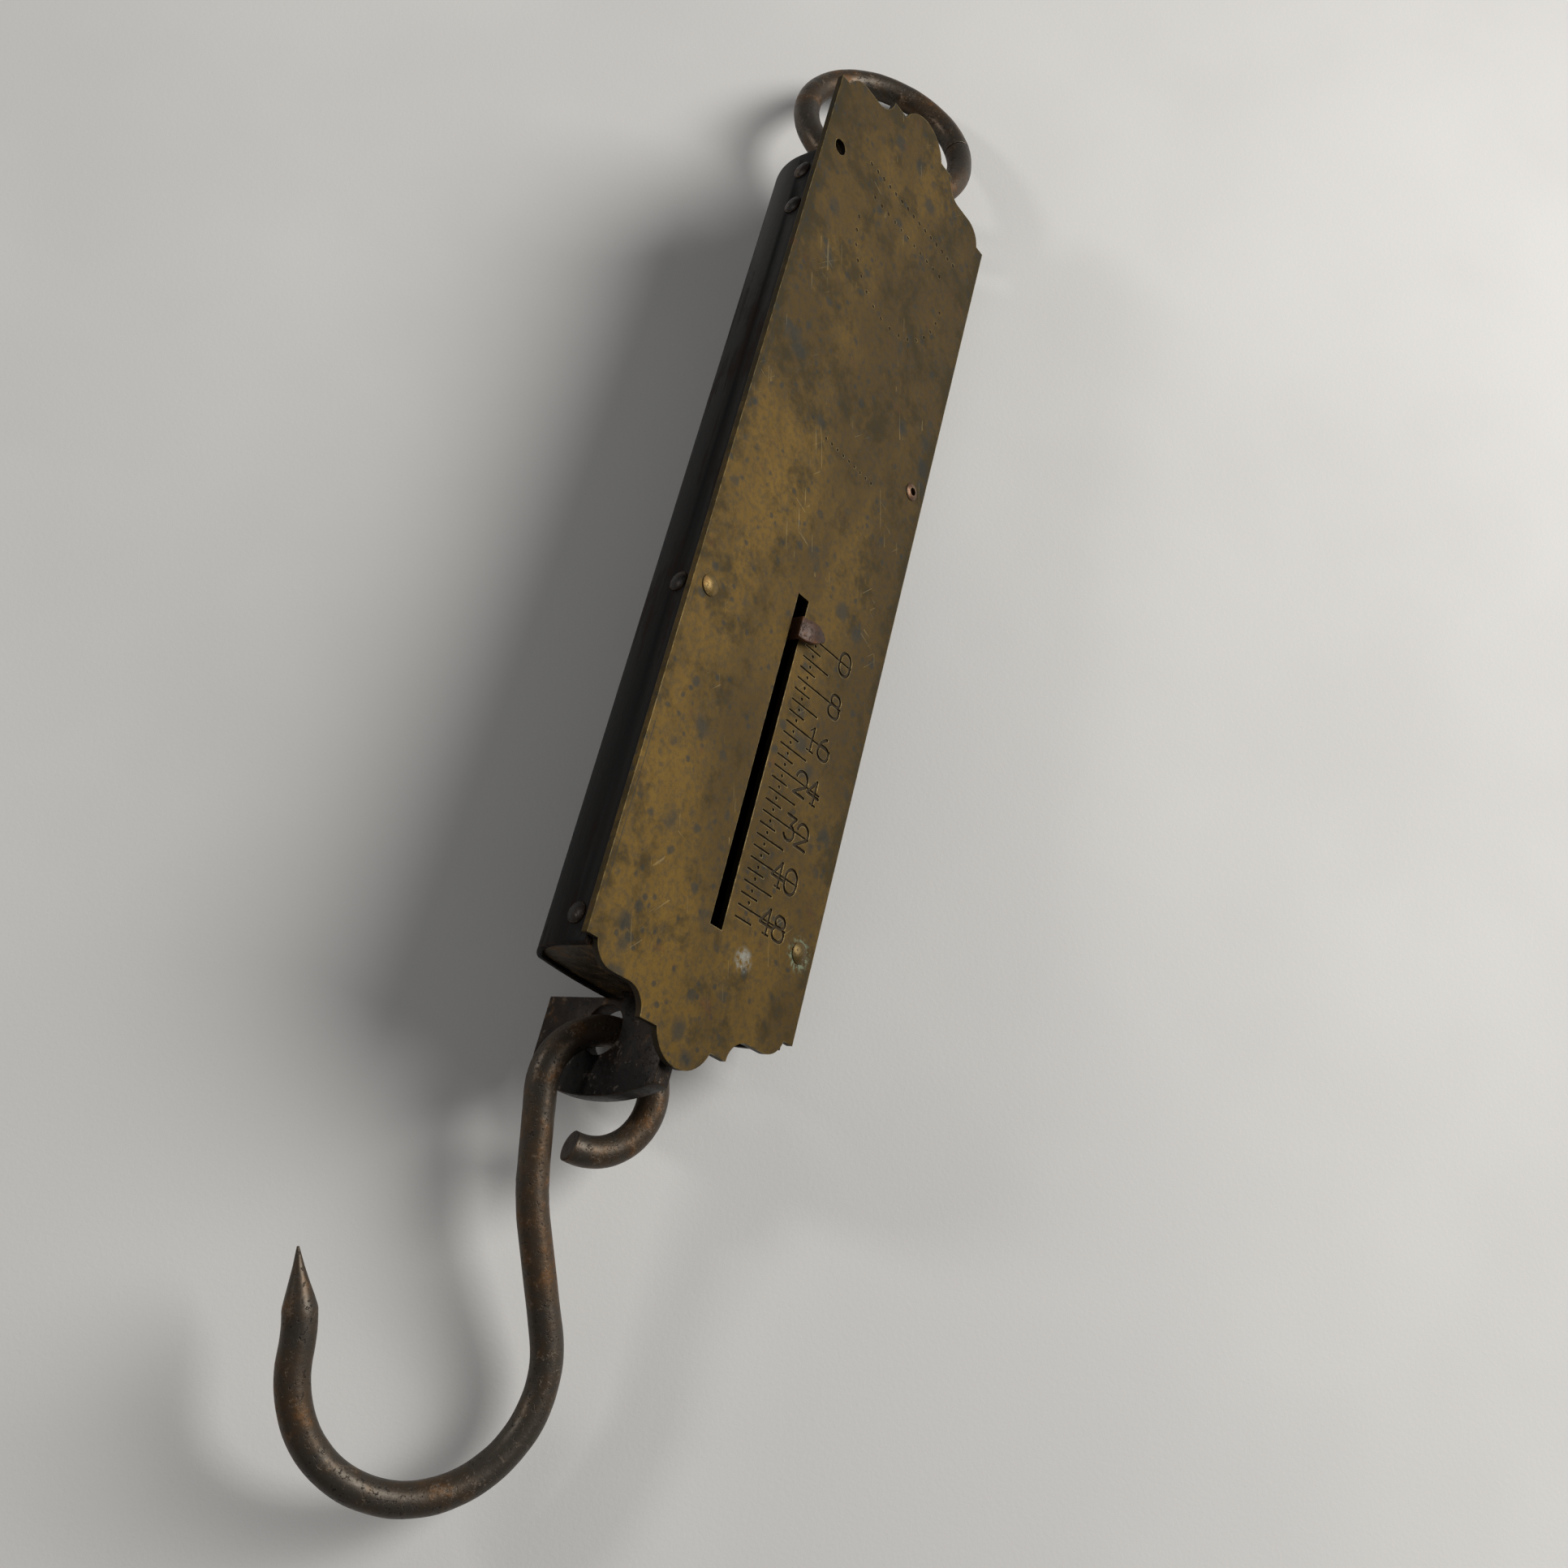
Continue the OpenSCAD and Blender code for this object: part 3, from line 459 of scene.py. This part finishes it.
def oldMetal(name):
    dark, brown, orange, bare, bloom, pitting, metal, wear, bumpDepth, edgeRadius = ironLooks[name]
    material, tree, shader, vector = newMaterial(name)
    edge = useGroup(tree, edgeWearAndHighlight, Vector=vector, Radius=edgeRadius, Breakup=800.0)
    skin = useGroup(tree, oldIron, Vector=vector, Dark=dark, Brown=brown, Orange=orange,
                    Bloom=bloom, Pitting=pitting)
    colour = mixColour(tree, times(tree, edge["Mask"], wear), skin["Color"], bare)
    tree.links.new(colour, shader.inputs["Base Color"])
    tree.links.new(skin["Roughness"], shader.inputs["Roughness"])
    shader.inputs["Specular IOR Level"].default_value = 0.25
    shader.inputs["Metallic"].default_value = metal
    addBump(tree, shader, skin["Height"], 0.6, bumpDepth, edge["Normal"])
    return material


def japannedIron():
    # black stoved varnish, worn through to brown along the edges and in streaks down the sides
    black, brown, edgeBrown = (0.0015, 0.0009, 0.0008), (0.012, 0.0052, 0.0026), (0.075, 0.04, 0.02)
    material, tree, shader, vector = newMaterial("japannedIron")
    edge = useGroup(tree, edgeWearAndHighlight, Vector=vector, Radius=0.7 * mm, Breakup=420.0)
    streak = noise(tree, placed(tree, vector, scale=(1, 1, 0.12)), 420, 5, 0.62, 0.2)
    patch = noise(tree, vector, 60, 5, 0.6, 0.4)
    worn = band(tree, plus(tree, times(tree, streak, 0.55), times(tree, patch, 0.45)), 0.50, 0.64)
    colour = mixColour(tree, times(tree, worn, 0.75), black, brown)
    colour = mixColour(tree, times(tree, edge["Mask"], 0.45), colour, edgeBrown)
    tree.links.new(colour, shader.inputs["Base Color"])
    rough = band(tree, worn, 0.0, 1.0, 0.48, 0.68)
    tree.links.new(rough, shader.inputs["Roughness"])
    shader.inputs["Specular IOR Level"].default_value = 0.1
    height = plus(tree, times(tree, streak, 0.5), times(tree, noise(tree, vector, 1100, 4, 0.6), 0.3))
    addBump(tree, shader, height, 0.5, 0.25 * mm, edge["Normal"])
    return material


metals = {name: oldMetal(name) for name in ironLooks}
brass = faceBrass()
japan = japannedIron()
print("materials ready")


def paint(obj, material):
    obj.data.materials.clear()
    obj.data.materials.append(material)


# the wire of ring and hook
wire = {"across": 5.2 * mm, "sides": 36, "lumpSize": 6 * mm, "smoothAngle": 50}


def startWire(name, centre, normal):
    # a filled disc of the wire's section, standing square to its way
    deselectAll()
    turn = normal.to_track_quat("Z", "Y").to_euler()
    bpy.ops.mesh.primitive_circle_add(vertices=wire["sides"], radius=wire["across"] / 2, fill_type="NGON",
                                      location=centre, rotation=turn)
    piece = bpy.context.object
    piece.name = name
    applyPlace(piece)
    bpy.ops.object.mode_set(mode="EDIT")
    bpy.ops.mesh.select_all(action="SELECT")
    return piece


def bendWire(centre, degrees, steps):
    # spins the open end round a centre in the X-Z plane, counter-clockwise seen from -Y
    bpy.ops.mesh.spin(steps=steps, angle=math.radians(degrees), center=centre, axis=(0, 1, 0))


def inPlane(x, z):
    return Vector((x * mm, 0, z * mm))


def onCircle(centre, radius, degrees):
    return centre + radius * Vector((math.cos(math.radians(degrees)), 0, math.sin(math.radians(degrees))))


def crossOf(a, b):
    return a.x * b.z - a.z * b.x


def headingAt(degrees):
    # the way of a counter-clockwise bend at that angle from its centre
    return Vector((-math.sin(math.radians(degrees)), 0, math.cos(math.radians(degrees))))


def lumpyWire(piece, depth, size):
    # the wire is hand forged: a slight unevenness all over
    texture = bpy.data.textures.new(piece.name + "Lumps", "CLOUDS")
    texture.noise_scale = size
    texture.noise_depth = 2
    addModifier(piece, "DISPLACE", texture=texture, strength=depth, mid_level=0.5, texture_coords="LOCAL")


hookShape = {
    "curlRadius": 9.6 * mm, "curlCentre": inPlane(1.4, -9.3), "cutEnd": -100, "curlEnd": 194.8,
    "kneeRadius": 45 * mm, "bowlRadius": 19.2 * mm, "bowlCentre": inPlane(-11.1, -55.4),
    "bowlStart": 27.3, "bowlStop": -172, "armRadius": 22 * mm, "armBend": 15, "lean": -22.2, "pitch": 7.4,
    "tip": 9 * mm,
    # share of the tip's length, width there
    "tipSteps": ((0.06, 0.96), (0.22, 0.80), (0.45, 0.56), (0.7, 0.32), (0.88, 0.17), (1.0, 0.07)),
    "unevenness": 0.22 * mm,
}


def makeHook():
    h = hookShape
    cutPlace = onCircle(h["curlCentre"], h["curlRadius"], h["cutEnd"])
    piece = startWire("hookWire", cutPlace, -headingAt(h["cutEnd"]))
    bendWire(h["curlCentre"], h["curlEnd"] - h["cutEnd"], 64)
    # two straight stretches meet in a gentle knee
    start = onCircle(h["curlCentre"], h["curlRadius"], h["curlEnd"])
    wayDown = headingAt(h["curlEnd"])
    end = onCircle(h["bowlCentre"], h["bowlRadius"], h["bowlStart"])
    wayIn = -headingAt(h["bowlStart"])
    corner = start + wayDown * (crossOf(end - start, wayIn) / crossOf(wayDown, wayIn))
    halfTurn = math.acos(wayDown.dot(wayIn)) / 2
    cut = h["kneeRadius"] * math.tan(halfTurn)
    kneeStart = corner - wayDown * cut
    kneeCentre = kneeStart + h["kneeRadius"] * Vector((-wayDown.z, 0, wayDown.x))
    extrudeBy(kneeStart - start, 8)
    bendWire(kneeCentre, math.degrees(2 * halfTurn), 5)
    extrudeBy(end - (corner + wayIn * cut), 4)
    bendWire(h["bowlCentre"], h["bowlStop"] - h["bowlStart"], 72)
    armStart = onCircle(h["bowlCentre"], h["bowlRadius"], h["bowlStop"])
    armAngle = h["bowlStop"] + 180
    armCentre = onCircle(armStart, -h["armRadius"], armAngle)
    bendWire(armCentre, h["armBend"], 6)
    # the tip is drawn out to a point, with a slight shoulder where the file began
    way = headingAt(armAngle + h["armBend"])
    spot = onCircle(armCentre, h["armRadius"], armAngle + h["armBend"])
    here, before = spot, 1.0
    for along, width in h["tipSteps"]:
        goal = spot + way * h["tip"] * along
        extrudeBy(goal - here)
        bpy.ops.transform.resize(value=(width / before,) * 3, center_override=goal)
        here, before = goal, width
    bpy.ops.object.mode_set(mode="OBJECT")
    cleanNormals(piece, wire["smoothAngle"])
    return piece


def turnPiece(piece, centre, degreesX, degreesZ):
    # first about X, then about Z, both through centre; the place goes into the mesh
    turn = Matrix.Rotation(math.radians(degreesZ), 4, "Z") @ Matrix.Rotation(math.radians(degreesX), 4, "X")
    piece.matrix_world = Matrix.Translation(centre) @ turn
    applyPlace(piece)


hook = makeHook()
lumpyWire(hook, hookShape["unevenness"], wire["lumpSize"])
turnPiece(hook, jointPlace("hook_swing"), hookShape["pitch"], hookShape["lean"])
cleanNormals(hook, wire["smoothAngle"])
paint(hook, metals["wireIron"])
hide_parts("load_hook")
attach(hook, "hook")
print("hook", len(hook.data.polygons))

# split and gap in degrees; seat is how far the ring sits behind its joint
ringShape = {"radius": 17.1 * mm, "split": 20, "gap": 1.2, "lean": -35.4, "pitch": -13.2,
             "seat": 0.35 * mm, "unevenness": 0.2 * mm}


def makeRing():
    r = ringShape
    middle = Vector((0, 0, r["radius"]))
    first = r["split"] + r["gap"] / 2
    piece = startWire("ringWire", onCircle(middle, r["radius"], first), -headingAt(first))
    bendWire(middle, 360 - r["gap"], 120)
    bpy.ops.object.mode_set(mode="OBJECT")
    cleanNormals(piece, wire["smoothAngle"])
    return piece


ring = makeRing()
lumpyWire(ring, ringShape["unevenness"], wire["lumpSize"])
ringPlace = jointPlace("ring_swing") + Vector((0, ringShape["seat"], 0))
turnPiece(ring, ringPlace, ringShape["pitch"], ringShape["lean"])
cleanNormals(ring, wire["smoothAngle"])
paint(ring, metals["wireIron"])
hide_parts("hanging_ring")
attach(ring, "ring")
print("ring", len(ring.data.polygons))


# the spring
springShape = {"thick": 2.4 * mm, "pitch": 2.45 * mm, "turns": 28, "sides": 12, "steps": 32}
springLow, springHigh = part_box("main_spring")


def makeSpring():
    # closed coils of round wire between the two plugs
    w = springShape
    mean = (springHigh.x - springLow.x - w["thick"]) / 2
    bottom = Vector((mean, 0, springLow.z + w["thick"] / 2))
    deselectAll()
    bpy.ops.mesh.primitive_circle_add(vertices=w["sides"], radius=w["thick"] / 2, location=bottom,
                                      rotation=(math.radians(90), 0, 0))
    piece = bpy.context.object
    piece.name = "springCoil"
    applyPlace(piece)
    addModifier(piece, "SCREW", angle=math.radians(360), screw_offset=w["pitch"], iterations=w["turns"],
                steps=w["steps"], render_steps=w["steps"], axis="Z")
    bpy.ops.object.mode_set(mode="EDIT")
    bpy.ops.mesh.select_all(action="DESELECT")
    bpy.ops.mesh.select_non_manifold()
    bpy.ops.mesh.edge_face_add()
    bpy.ops.object.mode_set(mode="OBJECT")
    cleanNormals(piece, wire["smoothAngle"])
    return piece


spring = makeSpring()
paint(spring, metals["springSteel"])
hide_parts("main_spring")
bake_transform(spring)
print("spring", len(spring.data.polygons))


# the pointer
pointerShape = {
    "thick": 1.0 * mm, "stem": 4.0 * mm, "front": -11.8 * mm, "back": -1.85 * mm, "softness": 0.18 * mm,
    # share of the reach, millimetres backwards, share of the rise, width against the step before
    "leaf": ((0.16, -0.35, 0.05, 1.04), (0.18, -0.25, 0.12, 0.96), (0.2, -0.05, 0.22, 0.84),
             (0.2, 0.2, 0.27, 0.70), (0.16, 0.3, 0.22, 0.58), (0.10, 0.15, 0.12, 0.55)),
}


def selectOneFace(piece, worth):
    # the face that is worth most, alone
    bpy.ops.mesh.select_all(action="DESELECT")
    bpy.ops.object.mode_set(mode="OBJECT")
    best = max(piece.data.polygons, key=worth)
    best.select = True
    bpy.ops.object.mode_set(mode="EDIT")


def makePointer():
    # a strip of sheet that comes through the slot and curves over like a leaf towards the zero line
    p = pointerShape
    thick = p["thick"]
    lo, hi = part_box("pointer")
    middle = (lo.z + hi.z) / 2
    deselectAll()
    bpy.ops.mesh.primitive_cube_add(size=1, location=(lo.x + thick / 2, p["back"] + thick / 2, middle),
                                    scale=(thick, thick, p["stem"]))
    piece = bpy.context.object
    piece.name = "pointerLeaf"
    applyPlace(piece)
    bpy.ops.object.mode_set(mode="EDIT")
    bpy.ops.mesh.select_mode(type="FACE")
    # the stem runs forwards through the slot
    selectOneFace(piece, lambda face: -face.normal.y)
    length = p["back"] - (p["front"] + thick)
    for forwards in (length / 2, length / 2, thick):
        extrudeBy(Vector((0, -forwards, 0)))
    # out of the side of its last stretch grows the leaf, first bulging forwards and then dipping to its tip
    selectOneFace(piece, lambda face: face.normal.x - face.center.y)
    reach = hi.x - (lo.x + thick)
    rise = (hi.z - 1.1 * mm) - middle
    place = Vector((lo.x + thick, p["front"] + thick / 2, middle))
    for share, dip, lift, taper in p["leaf"]:
        move = Vector((share * reach, dip * mm, lift * rise))
        place = place + move
        extrudeBy(move)
        bpy.ops.transform.resize(value=(1, 1, taper), center_override=place)
    bpy.ops.object.mode_set(mode="OBJECT")
    addModifier(piece, "BEVEL", width=p["softness"], segments=2, limit_method="ANGLE",
                angle_limit=math.radians(40))
    cleanNormals(piece, 45)
    return piece


pointer = makePointer()
paint(pointer, metals["pointerRust"])
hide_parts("pointer")
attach(pointer, "draw")
print("pointer", len(pointer.data.polygons))


# plates and case: copies of their nodes with softened edges
softPieces = {  # new name, softness of its edges, material, slot, body
    # the draw bar wears the iron that is painted dark as shade
    "draw_bar": ("drawBarForged", 0.45 * mm, metals["barIronPaintedShade"], "plate_iron", "draw"),
    "suspension_plate": ("suspensionForged", 0.35 * mm, metals["barIronPaintedShade"], "plate_iron", "case"),
    "bottom_end_plate": ("lowerEndSheet", 0.15 * mm, metals["endPlateIron"], "end_iron", "case"),
    "top_end_plate": ("upperEndSheet", 0.15 * mm, metals["endPlateIron"], "end_iron", "case"),
    "case_shell": ("caseSheet", 0.22 * mm, japan, "case_japan", "case"),
}
for node, (name, softness, material, slotName, body) in softPieces.items():
    piece = copyOfNode(node, name)
    addModifier(piece, "BEVEL", width=softness, segments=2, limit_method="ANGLE",
                angle_limit=math.radians(35))
    makeActive(piece)
    bpy.ops.object.shade_smooth_by_angle(angle=math.radians(40))
    paint(piece, material)
    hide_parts(node)
    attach(piece, body)
    print(name, len(piece.data.polygons))


# materials of the nodes that stay
stayNodes = {
    "face_plate": (brass, "face_brass"),
    "pointer_rivet": (metals["pointerRust"], "pointer_rust"),
    "lug_rivets": (metals["barIronPaintedShade"], "rivet_iron"),
    "end_plate_rivets": (metals["barIronPaintedShade"], "rivet_iron"),
    "face_rivets": (metals["rivetBrass"], "rivet_brass"),
    "eyelet_rivet": (metals["eyeletMetal"], "rivet_brass"),
}
for level in ("upper", "lower"):
    for kind in ("spring_plug", "plug_pin"):
        stayNodes[f"{level}_{kind}"] = (metals["innerIron"], "plug_iron")
    for side in ("left", "right"):
        stayNodes[f"{level}_{side}_lug"] = (metals["endPlateIron"], "end_iron")
for node, (material, slotName) in stayNodes.items():
    paint(frame["nodes"][node], material)
print("nodes painted")

# table, light and camera
eye = {
    "place": Vector((-175.7, -182.4, -235.6)) * mm, "right": Vector((0.5935, -0.7708, 0.2317)),
    "up": Vector((-0.4409, -0.0706, 0.8948)), "ahead": Vector((0.6733, 0.6332, 0.3817)), "lens": 36.89,
}
faceLow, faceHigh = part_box("face_plate")
faceMiddle = Vector((0, frontY, (faceLow.z + faceHigh.z) / 2))
tableUp = Vector((-0.65, -0.76, -0.04)).normalized()
tableDrop = 25.3 * mm  # from the middle of the face
tableSize = 3.0


def makeTable():
    deselectAll()
    place = faceMiddle - tableUp * tableDrop
    bpy.ops.mesh.primitive_plane_add(size=tableSize, location=place,
                                     rotation=tableUp.to_track_quat("Z", "Y").to_euler())
    table = bpy.context.object
    table.name = "table"
    applyPlace(table)
    material, tree, shader, vector = newMaterial("paleTable")
    soft = noise(tree, vector, 9, 4, 0.5)
    fine = noise(tree, vector, 1400, 3, 0.6)
    colour = mixColour(tree, band(tree, soft, 0.35, 0.7), (0.61, 0.60, 0.585), (0.67, 0.66, 0.64))
    tree.links.new(colour, shader.inputs["Base Color"])
    shader.inputs["Roughness"].default_value = 0.75
    addBump(tree, shader, fine, 0.15, 0.2 * mm)
    # the table is seen from its upper side only, so the object's back is not hidden
    clear = newNode(tree, "ShaderNodeBsdfTransparent")
    mix = newNode(tree, "ShaderNodeMixShader")
    behind = newNode(tree, "ShaderNodeNewGeometry").outputs["Backfacing"]
    tree.links.new(behind, mix.inputs[0])
    tree.links.new(shader.outputs[0], mix.inputs[1])
    tree.links.new(clear.outputs[0], mix.inputs[2])
    tree.links.new(mix.outputs[0], tree.nodes["Material Output"].inputs["Surface"])
    table.data.materials.append(material)


def softLight(name, high, right, up, size, watts, colour):
    # high above the table, right and up as the camera sees it, aimed at the middle of the face
    place = faceMiddle + tableUp * high + across * right + away * up
    deselectAll()
    bpy.ops.object.light_add(type="AREA", location=place,
                             rotation=(faceMiddle - place).to_track_quat("-Z", "Y").to_euler())
    lamp = bpy.context.object
    lamp.name = name
    lamp.data.shape = "DISK"
    lamp.data.size = size
    lamp.data.energy = watts
    lamp.data.color = colour


makeTable()
across = (eye["right"] - tableUp * eye["right"].dot(tableUp)).normalized()
away = (eye["up"] - tableUp * eye["up"].dot(tableUp)).normalized()
softLight("mainWindow", 0.62, 0.74, 0.14, 0.62, 11.0, (1, 0.985, 0.955))
softLight("lowLamp", 0.36, -0.70, 0.22, 0.12, 1.5, (1, 0.99, 0.97))

world = bpy.data.worlds.new("room")
bpy.context.scene.world = world
world.use_nodes = True
background = world.node_tree.nodes["Background"]
background.inputs["Color"].default_value = (0.95, 0.96, 1.0, 1)
background.inputs["Strength"].default_value = 0.12
bpy.context.scene.view_settings.view_transform = "Standard"

deselectAll()
bpy.ops.object.camera_add()
camera = bpy.context.object
camera.name = "camera"
cameraTurn = Matrix((eye["right"], eye["up"], -eye["ahead"])).transposed().to_4x4()
camera.matrix_world = Matrix.Translation(eye["place"]) @ cameraTurn
camera.data.lens = eye["lens"]
camera.data.sensor_width = 36
camera.data.clip_start = 0.01
bpy.context.scene.camera = camera
print("table, light and camera ready")
